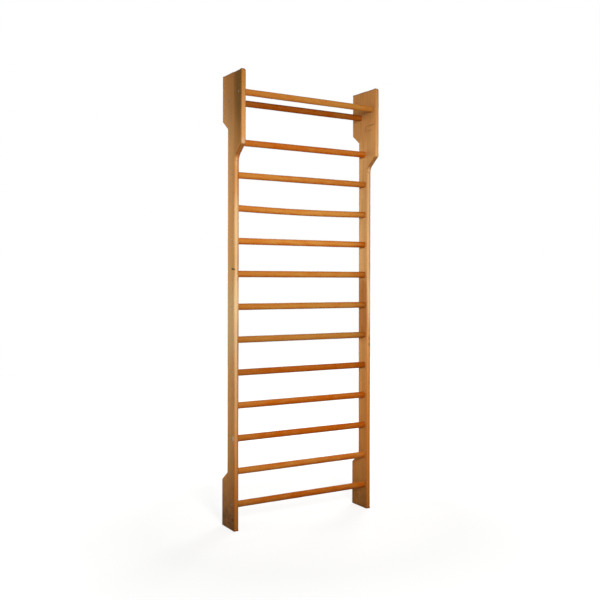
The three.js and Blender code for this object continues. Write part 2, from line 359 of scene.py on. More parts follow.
def upright_corners(size):
    """The upright's outline in Y and Z, anticlockwise from the toe of the plank."""
    front, rear = STILE_LOW.y, STILE_HIGH.y
    head, wall, top = HEAD_LOW.y, WALL_HIGH.y, STILE_HIGH.z
    front_drop = top - size.front_head
    rear_drop = top - size.rear_head
    wide, small = size.arris, size.back_arris
    worn = front + 0.03  # hands wear the top rounder in front of this
    return [
        (front, 0, 0, small),
        (wall, 0, 0, small),
        (wall, size.rear_foot, 0, small),
        (rear, size.rear_foot + size.rear_chamfer, 0, small),
        (rear, rear_drop - size.rear_chamfer, 0, small),
        (wall, rear_drop, 0, small),
        (wall, top, 0, wide),
        (worn, top, 0, size.crown),
        (head, top, size.front_corner, wide),
        (head, front_drop, size.front_corner, wide),
        (front, front_drop - size.front_slope, size.front_fillet, wide),
    ]


def whole_upright(size, side, rng):
    """One upright before it is split along its glue lines.

    The outline is stacked across the thickness. A quarter turn a of the arris of radius r lies r (1 - sin a)
    inside the outline and r (1 - cos a) below the face. One more ring keeps each broad face flat. Rubbed is
    sin^2 a: 0 on the broad faces and 1 on the narrow edges.
    """
    steps = 7
    points, mitre, past, radius = outline(upright_corners(size), rng)
    turn = np.linspace(0, np.pi / 2, steps)[:, None, None]
    inset = 1 - np.sin(turn)
    depth = radius * (1 - np.cos(turn[:, :, 0]))
    edge = points + inset * mitre
    flat = (points + past)[None]
    outer = np.concatenate([np.zeros_like(depth[:1]), depth])
    stack = np.concatenate([flat, edge, edge[::-1], flat])
    x = np.concatenate([outer, THICK - outer[::-1]])
    rub = np.sin(turn[:, :, 0]) ** 2 * np.ones_like(radius)
    rub = np.concatenate([np.zeros_like(rub[:1]), rub, rub[::-1], np.zeros_like(rub[:1])])
    rings = np.concatenate([(side * (OUTER - x))[:, :, None], stack], axis=-1)
    mesh = closed_mesh("upright", *loft(rings))
    point_attribute(mesh, "rubbed", "FLOAT", rub)
    return mesh


def clear_broad_faces(mesh):
    """Sets rubbed to 0 on the broad faces, because a cut can leave a wrong value at its new points there."""
    rub = np.empty(len(mesh.vertices), np.float32)
    mesh.attributes["rubbed"].data.foreach_get("value", rub)
    across = np.abs(mesh_points(mesh)[:, 0])
    below = np.minimum(OUTER - across, across - (OUTER - THICK))
    point_attribute(mesh, "rubbed", "FLOAT", np.where(below < 1e-5, 0, rub))


def screw_hole(place, side, rung):
    """The cutter for one countersunk screw, driven in from the outer face at a place on the rung's axis."""
    gap = rung.fit_gap
    head, shank = rung.screw_head / 2 + gap, rung.screw_shank / 2 + gap
    through = 0.05
    profile = [(-CUT_PAST, head), (0, head), (rung.countersink, shank), (through, shank)]
    profile = np.array(profile) * [-side, 1]
    return loft(turned(profile, (side * OUTER, place.y, place.z), 32, 0))


def tenon_hole(place, side, rung):
    """The cutter for one blind tenon hole, open to the inner face."""
    inner = OUTER - THICK
    ends = (inner + rung.tenon_length + rung.fit_gap, inner - CUT_PAST)
    profile = [(side * end, rung.tenon / 2 + rung.fit_gap) for end in ends]
    return loft(turned(profile, (0, place.y, place.z), 48, 0))


def measured(node):
    """The middle of a CAD node's box, and half its width and depth."""
    low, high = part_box(node)
    return (low + high) / 2, (high.x - low.x) / 2, (high.y - low.y) / 2


def dowel_sockets(prefix, rung):
    """The cutters for the dowels whose nodes start with the prefix."""
    sockets = []
    for name in DOWELS:
        if name.startswith(prefix):
            centre, radius, half = measured(name)
            profile = [(side * (half + rung.fit_gap), radius + rung.fit_gap) for side in (-1, 1)]
            sockets.append(loft(turned(profile, centre, 32, 1)))
    return sockets


class WALLBARS_OT_uprights(bpy.types.Operator):
    """Make both uprights: plank, front head block, rear head block and rear foot block"""

    bl_idname = "wall_bars.uprights"
    bl_label = "Uprights"

    def execute(self, context):
        settings = context.scene.wall_bars
        size, rung = settings.upright, settings.rung
        plank = varnished_pine("varnished_pine_plank", settings.colours, PLANK_RINGS)
        block = varnished_pine("varnished_pine_block", settings.colours, BLOCK_RINGS)
        far, hair = 1.0, 2e-5
        top, glue = STILE_HIGH.z, size.glue_line
        spans = {
            "stile": ((STILE_LOW.y - hair, -far), (STILE_HIGH.y + hair, 2 * top)),
            "front_head_block": ((-far, top / 2), (STILE_LOW.y - glue, 2 * top)),
            "rear_head_block": ((STILE_HIGH.y + glue, top / 2), (far, 2 * top)),
            "rear_foot_block": ((STILE_HIGH.y + glue, -far), (far, top / 2)),
        }
        tones = {
            "left_front_head_block": 0.86, "right_stile": 0.95, "right_front_head_block": 0.9,
            "right_rear_head_block": 0.93, "right_rear_foot_block": 0.85,
        }
        rng = np.random.default_rng(SEED)
        for side_name, side in SIDES.items():
            whole = whole_upright(size, side, rng)
            for kind, (low, high) in spans.items():
                node = f"{side_name}_{kind}"
                tool = box_solid((-far, *low), (far, *high))
                mesh = cut(whole, closed_mesh("tool", *tool), "INTERSECT")
                holes = dowel_sockets(side_name if kind == "stile" else node, rung)
                for name in RUNGS:
                    if (kind == "front_head_block") != (name == "hang_rung") or kind.startswith("rear"):
                        continue
                    axis = rung_axis(name)
                    holes.append(tenon_hole(axis, side, rung))
                    if f"{side_name}_{name}_screw" in SCREWS:
                        holes.append(screw_hole(axis, side, rung))
                mesh = cut(mesh, closed_mesh("holes", *joined(holes)), "DIFFERENCE")
                clear_broad_faces(mesh)
                pith = (side * rng.uniform(0.36, 0.4), rng.uniform(-0.02, 0.05), 0)
                lean = (rng.normal(0, 0.004), rng.normal(0, 0.004), 1)
                slot, wood = ("stile", plank) if kind == "stile" else ("block", block)
                finished(f"{node}_piece", node, mesh, wood, (pith, lean), tones.get(node, 1.0))
        return {"FINISHED"}


# Rungs, screws and dowels


def rung_axis(name):
    """A point on a rung's axis: its tenons are not bowed, so the axis is measured at its ends."""
    points = mesh_points(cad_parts[name].data)
    ends = points[points[:, 0] > points[:, 0].max() - 0.001]
    return Vector((0, *((ends.min(0) + ends.max(0)) / 2)[1:]))


def rung_rings(name, axis, rung, screwed, rng):
    """Rings of one rung: round tenons, rounded shoulders and an oval bar that may sag.

    Row (x, ry, rz) is an ellipse in Y and Z, and the bar's rows sink by bow (1 - (x / half)^2). The bar's
    section swells and thins by a fraction of a millimetre, as a planed and handled stick does.
    """
    low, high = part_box(name)
    reach = high.x
    half = reach - rung.tenon_length - rung.fit_gap
    bow = (axis.z - rung.height / 2) - low.z
    tenon = rung.tenon / 2
    ry, rz = rung.depth / 2, rung.height / 2
    pilot = rung.screw_shank / 2 + rung.fit_gap
    ease, pilot_depth, clear = 0.0015, 0.015, 0.01
    bar_rows, sides = 61, 56
    swell, twist, swell_waves = 0.00035, 0.03, (0.61, 0.29, 0.13)
    quarter = np.linspace(0, np.pi / 2, 4)
    soft = rung.shoulder * (1 - np.sin(quarter))
    sink = rung.shoulder * (1 - np.cos(quarter))
    end = [(reach, tenon - ease, tenon - ease), (reach - ease, tenon, tenon), (half, tenon, tenon)]
    if screwed:
        end = [(reach - pilot_depth, pilot, pilot), (reach, pilot, pilot)] + end
    end += [(half - s, ry - c, rz - c) for s, c in zip(sink, soft)]
    bar = np.linspace(half - clear, -half + clear, bar_rows)
    bar = np.column_stack([bar, np.full((bar_rows, 2), (ry, rz))])
    end = np.array(end)
    rows = np.concatenate([end, bar, end[::-1] * [-1, 1, 1]])
    turn = np.linspace(0, 2 * np.pi, sides, endpoint=False)
    x = rows[:, 0][:, None] * np.ones_like(turn)
    on_bar = (np.abs(rows[:, 0]) < half - clear / 2)[:, None]
    uneven = ripple(x + twist * np.cos(turn), swell_waves, rng) * swell * on_bar
    sag = bow * np.maximum(0, 1 - (x / half) ** 2)
    y = axis.y + (rows[:, 1][:, None] + uneven) * np.cos(turn)
    z = axis.z + (rows[:, 2][:, None] + uneven) * np.sin(turn) - sag
    return np.stack([x, y, z], axis=-1)


class WALLBARS_OT_rungs(bpy.types.Operator):
    """Make every rung, with its tenons and its slight unevenness"""

    bl_idname = "wall_bars.rungs"
    bl_label = "Rungs"

    def execute(self, context):
        settings = context.scene.wall_bars
        material = varnished_ash("amber_varnished_ash", settings.colours)
        rng = np.random.default_rng(SEED + 1)
        sticks = {  # tone and depth of the varnish
            # Tones and depths differ from stick to stick; the rear rung's low tone is partly painted shade
            # under the hanging rung.
            "hang_rung": (1.14, -0.4), "rear_rung": (0.7, 0.3), "rung_12": (1.0, 0.35), "rung_9": (1.0, 0.15),
            "rung_8": (0.86, 0.15), "rung_7": (0.84, 0.0), "rung_6": (0.78, 0.0), "rung_5": (0.78, 0.65),
            "rung_4": (1.0, 0.35), "rung_3": (1.0, 0.4), "rung_2": (1.16, -0.1), "rung_1": (1.06, 0.1),
        }
        for name in RUNGS:
            axis = rung_axis(name)
            rings = rung_rings(name, axis, settings.rung, f"left_{name}_screw" in SCREWS, rng)
            mesh = closed_mesh(name, *loft(rings))
            pith = axis + Vector((rng.uniform(-2, 2), rng.uniform(-0.05, 0.05), -rng.uniform(0.03, 0.07)))
            lean = (1, rng.normal(0, 0.003), rng.normal(0, 0.003))
            tone, amber = sticks.get(name, (1.0, 0.0))
            point_attribute(mesh, "amber", "FLOAT", np.full(len(mesh.vertices), amber))
            finished(f"{name}_piece", name, mesh, material, (pith, lean), tone)
        return {"FINISHED"}


def screw_template(rung, length):
    """A slotted countersunk wood screw along +X from its head at the origin.

    The thread's radius at distance s and angle t is the core plus its height times a triangle wave of
    s / pitch - t / (2 pi), and it fades out under the head and at the point.
    """
    head, shank, core = rung.screw_head / 2, rung.screw_shank / 2, rung.screw_core / 2
    rim, neck, smooth, tip, run_out = 0.0003, 0.0015, 0.009, 0.006, 0.002
    plain = rung.countersink + smooth
    point = length - tip
    cone = [0, rim, rung.countersink, rung.countersink + neck]
    thread = np.arange(plain + rim, point, rung.screw_pitch / 6)
    along = np.concatenate([cone, [plain], thread, np.linspace(point, length, 10)])
    turn = np.linspace(0, 2 * np.pi, 32, endpoint=False)
    wave = (along[:, None] / rung.screw_pitch - turn / (2 * np.pi)) % 1
    ridge = 1 - np.abs(2 * wave - 1)
    fade = np.clip((along - plain) / run_out, 0, 1)[:, None]
    taper = np.clip((length - along) / tip, 0.04, 1)[:, None]
    threaded = (core + (shank - core) * ridge) * taper
    plain_radius = np.interp(along, cone, [head - 0.0002, head, shank, shank])[:, None]
    radius = plain_radius * (1 - fade) + threaded * fade
    x = np.broadcast_to(along[:, None], radius.shape)
    rings = np.stack([x, radius * np.cos(turn), radius * np.sin(turn)], axis=-1)
    half = rung.slot_width / 2
    slot = box_solid((-0.01, -head * 2, -half), (rung.slot_depth, head * 2, half))
    return cut(closed_mesh("screw", *loft(rings)), closed_mesh("slot", *slot), "DIFFERENCE")


class WALLBARS_OT_screws(bpy.types.Operator):
    """Make the slotted screws that hold the rungs, each turned to its own angle"""

    bl_idname = "wall_bars.screws"
    bl_label = "Screws"

    def execute(self, context):
        settings = context.scene.wall_bars
        material = zinc_steel("dull_zinc_plated_steel", settings.colours)
        _, half, _ = measured(SCREWS[0])
        template = screw_template(settings.rung, 2 * half)
        rng = np.random.default_rng(SEED + 2)
        for name in SCREWS:
            side = SIDES[name.split("_")[0]]
            place, _, _ = measured(name)
            turn = Matrix.Rotation(rng.uniform(0, math.pi), 4, "X")
            face = Matrix.Rotation(0 if side < 0 else math.pi, 4, "Z")
            mesh = template.copy()
            mesh.transform(Matrix.Translation((side * OUTER, place.y, place.z)) @ face @ turn)
            finished(f"{name}_piece", name, mesh, material)
        bpy.data.meshes.remove(template)
        return {"FINISHED"}


class WALLBARS_OT_dowels(bpy.types.Operator):
    """Make the fluted dowels inside the glue joints"""

    bl_idname = "wall_bars.dowels"
    bl_label = "Dowels"

    def execute(self, context):
        material = bare_beech("bare_beech", context.scene.wall_bars.colours)
        sides, flutes, groove, ease = 96, 24, 0.05, 0.0015
        turn = np.linspace(0, 2 * np.pi, sides, endpoint=False)
        fluted = 1 - groove * np.maximum(0, np.cos(flutes * turn))
        for name in DOWELS:
            centre, radius, half = measured(name)
            rows = [(-half, radius - ease), (ease - half, radius)]
            rows += [(-end, size) for end, size in reversed(rows)]
            rings = turned(rows, centre, sides, 1)
            rings[:, :, 0] = centre.x + (rings[:, :, 0] - centre.x) * fluted
            rings[:, :, 2] = centre.z + (rings[:, :, 2] - centre.z) * fluted
            mesh = closed_mesh(name, *loft(rings))
            finished(f"{name}_piece", name, mesh, material, (centre, (0, 1, 0)))
        return {"FINISHED"}


# Materials


class Mark(NamedTuple):
    """An oval mark on the wood, with its middle and radii in metres and its tilt in radians."""

    colour: str
    centre: tuple
    radii: tuple
    core: float  # share of the radii that is fully marked
    strength: float
    tilt: float = 0.0


def feed(node, inputs):
    """Links each input that is given as a socket, and sets each one that is given as a value."""
    for key, value in inputs.items():
        if isinstance(value, bpy.types.NodeSocket):
            node.id_data.links.new(value, node.inputs[key])
        else:
            node.inputs[key].default_value = value


def add_node(tree, kind, *values, **settings):
    """Adds a shader node with its settings, and returns its outputs.

    Values fill the inputs in order, and a dictionary fills those that it names. For a MapRange they are the
    value, where it comes from and where it goes to.
    """
    node = tree.nodes.new("ShaderNode" + kind)
    for key, value in settings.items():
        setattr(node, key, value)
    for key, value in enumerate(values):
        feed(node, value if isinstance(value, dict) else {key: value})
    return node.outputs


def new_material(name):
    """A material with its shader, and the function that adds nodes to it."""
    material = bpy.data.materials.new(name)
    material.use_nodes = True
    tree = material.node_tree
    return material, tree.nodes["Principled BSDF"], partial(add_node, tree)


def rgba(colour):
    """A colour property with alpha one."""
    return (*colour, 1)


def wood_figure(add, ring_gap, fibre_gap):
    """Growth rings, fibres and patches of a stick of wood, each from 0 to 1, in its own grain coordinates.

    The rings swing by up to a centimetre in half a metre, as they do in a grown trunk. A fibre is drawn about
    60 times as long as it is wide. Patches hold a finer mottle.
    """
    swing_scale = (14, 14, 2)  # 70 mm across and 500 mm along the grain
    patch_scale = (25, 25, 1)  # 40 mm across and 1000 mm along the grain
    fibre_scale = (1 / fibre_gap, 1 / fibre_gap, 1 / fibre_gap / 60)
    swing = (0.02, 0.02, 0.02)
    grain = add("Attribute", attribute_name="grain")["Vector"]
    slow = add("Mapping", {"Vector": grain, "Scale": swing_scale})[0]
    slow = add("TexNoise", {"Vector": slow, "Scale": 1, "Detail": 2})["Color"]
    swung = add("VectorMath", slow, swing, grain, operation="MULTIPLY_ADD")[0]
    rings = add(
        "TexWave", {"Vector": swung, "Scale": RING_AT_SCALE_ONE / ring_gap, "Distortion": 0.4},
        wave_type="RINGS", rings_direction="Z", wave_profile="SAW",
    )["Fac"]
    fine = add("Mapping", {"Vector": grain, "Scale": fibre_scale})[0]
    fibre = add("TexNoise", {"Vector": fine, "Scale": 1, "Detail": 2})["Fac"]
    broad = add("Mapping", {"Vector": grain, "Scale": patch_scale})[0]
    patch = add("TexNoise", {"Vector": broad, "Scale": 1, "Detail": 5, "Roughness": 0.7})["Fac"]
    return rings, fibre, patch


def varnish_depth_and_painted_light(add, place, slope):
    """How deep the varnish lies: 0 in the band that hands rub, which also paints sheen, and 1 far above or
    below it, which also paints shade towards the head and the foot.

    The band's middle is at PALE_BAND_HEIGHT + slope x, higher on the right.
    """
    rubbed, untouched = 0.1, 1.3  # metres from the band's middle
    height = add("VectorMath", place, (-slope, 0, 1), operation="DOT_PRODUCT")["Value"]
    away = add("Math", height, PALE_BAND_HEIGHT, operation="SUBTRACT")[0]
    away = add("Math", away, operation="ABSOLUTE")[0]
    return add("MapRange", away, rubbed, untouched, interpolation_type="SMOOTHSTEP")[0]


def mark_mask(add, place, mark):
    """A soft edged mark: full in its core and 0 where the distance, measured in its own radii, reaches 1."""
    inside = add(
        "Mapping",
        {"Vector": place, "Location": mark.centre, "Rotation": (mark.tilt, 0, 0), "Scale": mark.radii},
        vector_type="TEXTURE",
    )[0]
    distance = add("VectorMath", inside, operation="LENGTH")["Value"]
    return add("MapRange", distance, 1.0, mark.core, 0.0, mark.strength, interpolation_type="SMOOTHSTEP")[0]


def pine_marks():
    """Marks of use, with some painted sheen and a glint, on the uprights at their places. Later marks lie
    over earlier ones.
    """
    outside, inside = -OUTER, OUTER - THICK  # the left upright's outer face and the right one's inner face
    left_edge, right_edge = THICK / 2 - OUTER, OUTER - THICK / 2
    arris = OUTER - 0.005  # of the right upright
    front, head = STILE_LOW.y, HEAD_LOW.y
    skin, film, edge = 0.012, 0.004, 0.03  # how far a mark reaches through a face, or across an edge
    return [
        Mark("knot", (outside, -0.02, 1.426), (skin, 0.03, 0.0085), 0.35, 0.85, 0.1),
        Mark("knot", (inside, -0.075, 2.287), (skin, 0.055, 0.0035), 0.5, 0.6, -0.04),  # a check
        Mark("grime_and_shade", (inside, front + 0.012, 2.27), (skin, 0.02, 0.036), 0.1, 0.25),
        Mark("grime_and_shade", (inside, -0.06, 2.258), (skin, 0.035, 0.008), 0.1, 0.3, -0.06),
        Mark("stain", (inside, 0.03, 2.34), (skin, 0.17, 0.26), 0.4, 0.24),
        Mark("stain", (inside, 0.05, 0.2), (skin, 0.1, 0.22), 0.3, 0.16),
        Mark("olive", (left_edge, head, 2.44), (edge, 0.012, 0.16), 0.2, 0.14),
        Mark("grime_and_shade", (outside, front + 0.016, 0.06), (skin, 0.016, 0.007), 0.2, 0.8, 0.2),  # three scuffs
        Mark("grime_and_shade", (outside, front + 0.04, 0.078), (skin, 0.02, 0.006), 0.2, 0.55, -0.15),
        Mark("grime_and_shade", (outside, front + 0.06, 0.035), (skin, 0.03, 0.008), 0.2, 0.45, 0.1),
        Mark("rubbed", (outside, 0.06, 2.12), (skin, 0.13, 0.5), 0.2, 0.28),
        # Pale on the left front edge: rubbed, and painted sheen.
        Mark("rubbed", (left_edge, front, 1.68), (edge, 0.012, 0.22), 0.3, 0.35),
        Mark("olive", (outside, head, 2.38), (film, 0.24, 0.6), 0.0, 0.42),
        Mark("olive", (outside, head + 0.02, 2.46), (film, 0.085, 0.46), 0.3, 0.6),
        Mark("grime_and_shade", (outside, 0.02, 2.44), (skin, 0.12, 0.36), 0.3, 0.2),
        # Pale at mid height on the left face and both front edges: rubbed, and painted sheen.
        Mark("rubbed", (outside, 0.0, 1.15), (skin, 0.1, 0.32), 0.2, 0.42),
        Mark("rubbed", (left_edge, front, 1.25), (edge, 0.01, 0.2), 0.2, 0.4),
        Mark("rubbed", (right_edge, front, 1.25), (edge, 0.01, 0.2), 0.2, 0.5),
        # A darker, redder patch on the right upright's inner face between two rungs.
        Mark("stain", (inside, 0.01, 1.2), (skin, 0.1, 0.24), 0.6, 0.6),
        Mark("bare_and_glint", (left_edge, head, 2.2), (edge, 0.012, 0.3), 0.1, 0.12),
        Mark("bare_and_glint", (outside + 0.012, head, 2.11), (0.016, 0.016, 0.03), 0.2, 0.3),  # a chip
        # A painted glint: a pale streak on the left front edge below the fillet.
        Mark("bare_and_glint", (outside + 0.011, front, 2.01), (0.006, 0.012, 0.035), 0.2, 0.45),  # a pale streak
        Mark("stain", (left_edge, front, 1.9), (edge, 0.012, 0.16), 0.3, 0.06),
        Mark("bare_and_glint", (outside, -0.021, 0.504), (skin, 0.016, 0.02), 0.4, 0.6),  # a chip by a screw
        Mark("grime_and_shade", (arris, front, 0.984), (0.015, 0.02, 0.019), 0.4, 0.55),  # two nicks
        Mark("grime_and_shade", (arris, front, 1.021), (0.014, 0.02, 0.022), 0.4, 0.42),
    ]


def varnished_pine(name, colours, ring_gap):
    """Planed pine under old amber varnish.

    It gives the eye long quiet streaks with a soft mottle, and varnish that is rubbed pale at hand height and
    deep amber towards the head and the foot, partly as painted sheen in the middle and painted shade at the
    ends. Narrow edges are pale, partly as painted sheen. Arrises are honey coloured and carry painted shade,
    more on the right below the head, and the broad faces carry painted shade towards the front. Glue seams
    are dark, feet soiled and darker towards the floor, partly as painted shade, and the rounded top is
    painted olive as shade. Real fibres are 0.05 mm wide, and are drawn 1 mm wide so that they show.
    """
    fibre_gap = 0.001
    head_foot, ladder_top = 2.15, 1.95
    foot, reach = 0.15, 1.0  # heights between which the pale edges and the painted shade on arrises and fronts grow to full
    # depth of the painted olive shade along the top, and of the darkest band at the floor
    crown, sole = 0.012, 0.014
    rub_slope, kick_slope = 0.55, 0.17  # the pale band lies higher on the right upright, and the dirt and painted shade at the foot reach higher on the left one
    blotch_scale = 30  # 33 mm
    fray = Vector((0, 0.01, 0.003))  # how far the edges of marks wander
    material, shader, add = new_material(name)
    tone = add("Attribute", attribute_name="tone")["Fac"]
    rubbed = add("Attribute", attribute_name="rubbed")["Fac"]
    coordinates = add("TexCoord")
    place = coordinates["Object"]
    across, depth, height = add("SeparateXYZ", place)
    rings, fibre, patch = wood_figure(add, ring_gap, fibre_gap)
    dark = add("Math", rings, 3.0, operation="POWER")[0]
    for figure, weight in ((fibre, 0.5), (patch, 1.2)):
        dark = add("Math", figure, weight, dark, operation="MULTIPLY_ADD")[0]
    dark = add("MapRange", dark, 0.62, 1.58)[0]
    colour = add(
        "Mix", {0: dark, 6: rgba(colours.pine_early), 7: rgba(colours.pine_late)}, data_type="RGBA",
    )[2]

    ladder = add("MapRange", height, head_foot, ladder_top)[0]
    grown_with_height = add("MapRange", height, foot, reach, 0.1, 1.0)[0]
    # The narrow edges paler, more on the left: rubbed wood, and painted sheen.
    rub = add("MapRange", across, -OUTER, OUTER, 0.75, 0.3)[0]
    # Painted shade on the right-facing arrises, turned away from the light; weaker on the right upright.
    side = add("Math", across, operation="SIGN")[0]
    right_arris_shade = add("Math", side, THICK / 2 - OUTER, across, operation="MULTIPLY_ADD")[0]
    right_arris_shade_strength = add("MapRange", across, -OUTER, OUTER, 1.0, 0.55)[0]
    right_arris_shade = add("MapRange", right_arris_shade, 0.001, 0.007, 0.0, right_arris_shade_strength)[0]
    # Painted shade: the broad faces below the head darker towards the front.
    front_shade = add("MapRange", depth, STILE_HIGH.y, STILE_LOW.y)[0]
    flat = add("MapRange", rubbed, 0.0, 1.0, 0.28, 0.0)[0]
    products = []
    for product, *factors in ((rub, grown_with_height, rubbed), (right_arris_shade, rubbed, ladder, grown_with_height), (front_shade, ladder, flat)):
        for factor in factors:
            product = add("Math", product, factor, operation="MULTIPLY")[0]
        products.append(product)
    rub, right_arris_shade, front_shade = products
    deep = varnish_depth_and_painted_light(add, place, rub_slope)
    gathered = add("Math", deep, rubbed, operation="MULTIPLY")[0]
    # Painted shade on every arris, strongest halfway round it.
    arris_shade_peak = add("MapRange", rubbed, 0.0, 1.0, 2.5, 0.0)[0]
    arris = add("Math", arris_shade_peak, rubbed, right_arris_shade, operation="MULTIPLY_ADD")[0]
    facing = add("SeparateXYZ", coordinates["Normal"])["Z"]
    facing = add("Math", facing, operation="ABSOLUTE")[0]
    cut_end = add("MapRange", facing, 0.4, 0.75)[0]
    shade = add("CombineXYZ", tone, tone, tone)[0]
    coats = [
        (rub, rgba(colours.rubbed), "MIX"),
        (front_shade, rgba(colours.grime_and_shade), "MIX"),
        (deep, rgba(colours.varnish), "MULTIPLY"),
        (gathered, rgba(colours.varnish), "MULTIPLY"),
        (arris, rgba(colours.arris), "MULTIPLY"),
        (cut_end, rgba(colours.end_grain), "MULTIPLY"),
        (1.0, shade, "MULTIPLY"),
    ]

    for seam in (STILE_LOW.y, STILE_HIGH.y):
        gap = add("Math", depth, seam, operation="SUBTRACT")[0]
        gap = add("Math", gap, operation="ABSOLUTE")[0]
        glue = add("MapRange", gap, 0.002, 0.0004, 0.0, 0.4)[0]
        glue = add("Math", glue, patch, operation="MULTIPLY")[0]
        coats.append((glue, rgba(colours.grime_and_shade), "MIX"))

    blotch = add("TexNoise", {"Vector": place, "Scale": blotch_scale, "Detail": 4})
    ragged = add("VectorMath", blotch["Color"], fray, place, operation="MULTIPLY_ADD")[0]
    ragged = add("VectorMath", ragged, fray / 2, operation="SUBTRACT")[0]
    for mark in pine_marks():
        coats.append((mark_mask(add, ragged, mark), rgba(getattr(colours, mark.colour)), "MIX"))

    # Darker towards the foot, reaching higher on the left: dirt, and painted shade.
    kicked = add("VectorMath", place, (kick_slope, 0, 1), operation="DOT_PRODUCT")["Value"]
    soil_and_shade = add("MapRange", kicked, 0.4, -0.1, 0.0, 1.12, interpolation_type="SMOOTHSTEP")[0]
    mopped = add("MapRange", height, 0.2, 0.02, 0.0, 0.32, interpolation_type="SMOOTHSTEP")[0]
    uneven = add("MapRange", blotch["Fac"], 0.3, 0.7, 0.4, 0.6)[0]
    clean = add("MapRange", rubbed, 0.0, 1.0, 1.0, 0.42)[0]
    soled = add("MapRange", height, sole, 0.0, 0.0, 0.8)[0]
    steps = ((mopped, "ADD"), (uneven, "MULTIPLY"), (clean, "MULTIPLY"), (soled, "MAXIMUM"))
    for value, operation in steps:
        soil_and_shade = add("Math", soil_and_shade, value, operation=operation)[0]
    # Painted shade: olive along the rounded top, where it turns away from the light.
    top = add("MapRange", height, STILE_HIGH.z - crown, STILE_HIGH.z, 0.0, 0.45)[0]
    coats += [(soil_and_shade, rgba(colours.grime_and_shade), "MIX"), (top, rgba(colours.olive), "MIX")]
    for amount, tint, blend in coats:
        colour = add("Mix", {0: amount, 6: colour, 7: tint}, data_type="RGBA", blend_type=blend)[2]

    rough = add("MapRange", fibre, 0.3, 0.7, 0.4, 0.52)[0]
    relief = add("Math", fibre, rings, operation="ADD")[0]
    bump = add("Bump", {"Strength": 0.12, "Distance": 0.0006, "Height": relief})[0]
    feed(shader, {"Base Color": colour, "Roughness": rough, "Normal": bump, "Specular IOR Level": 0.02})
    return material


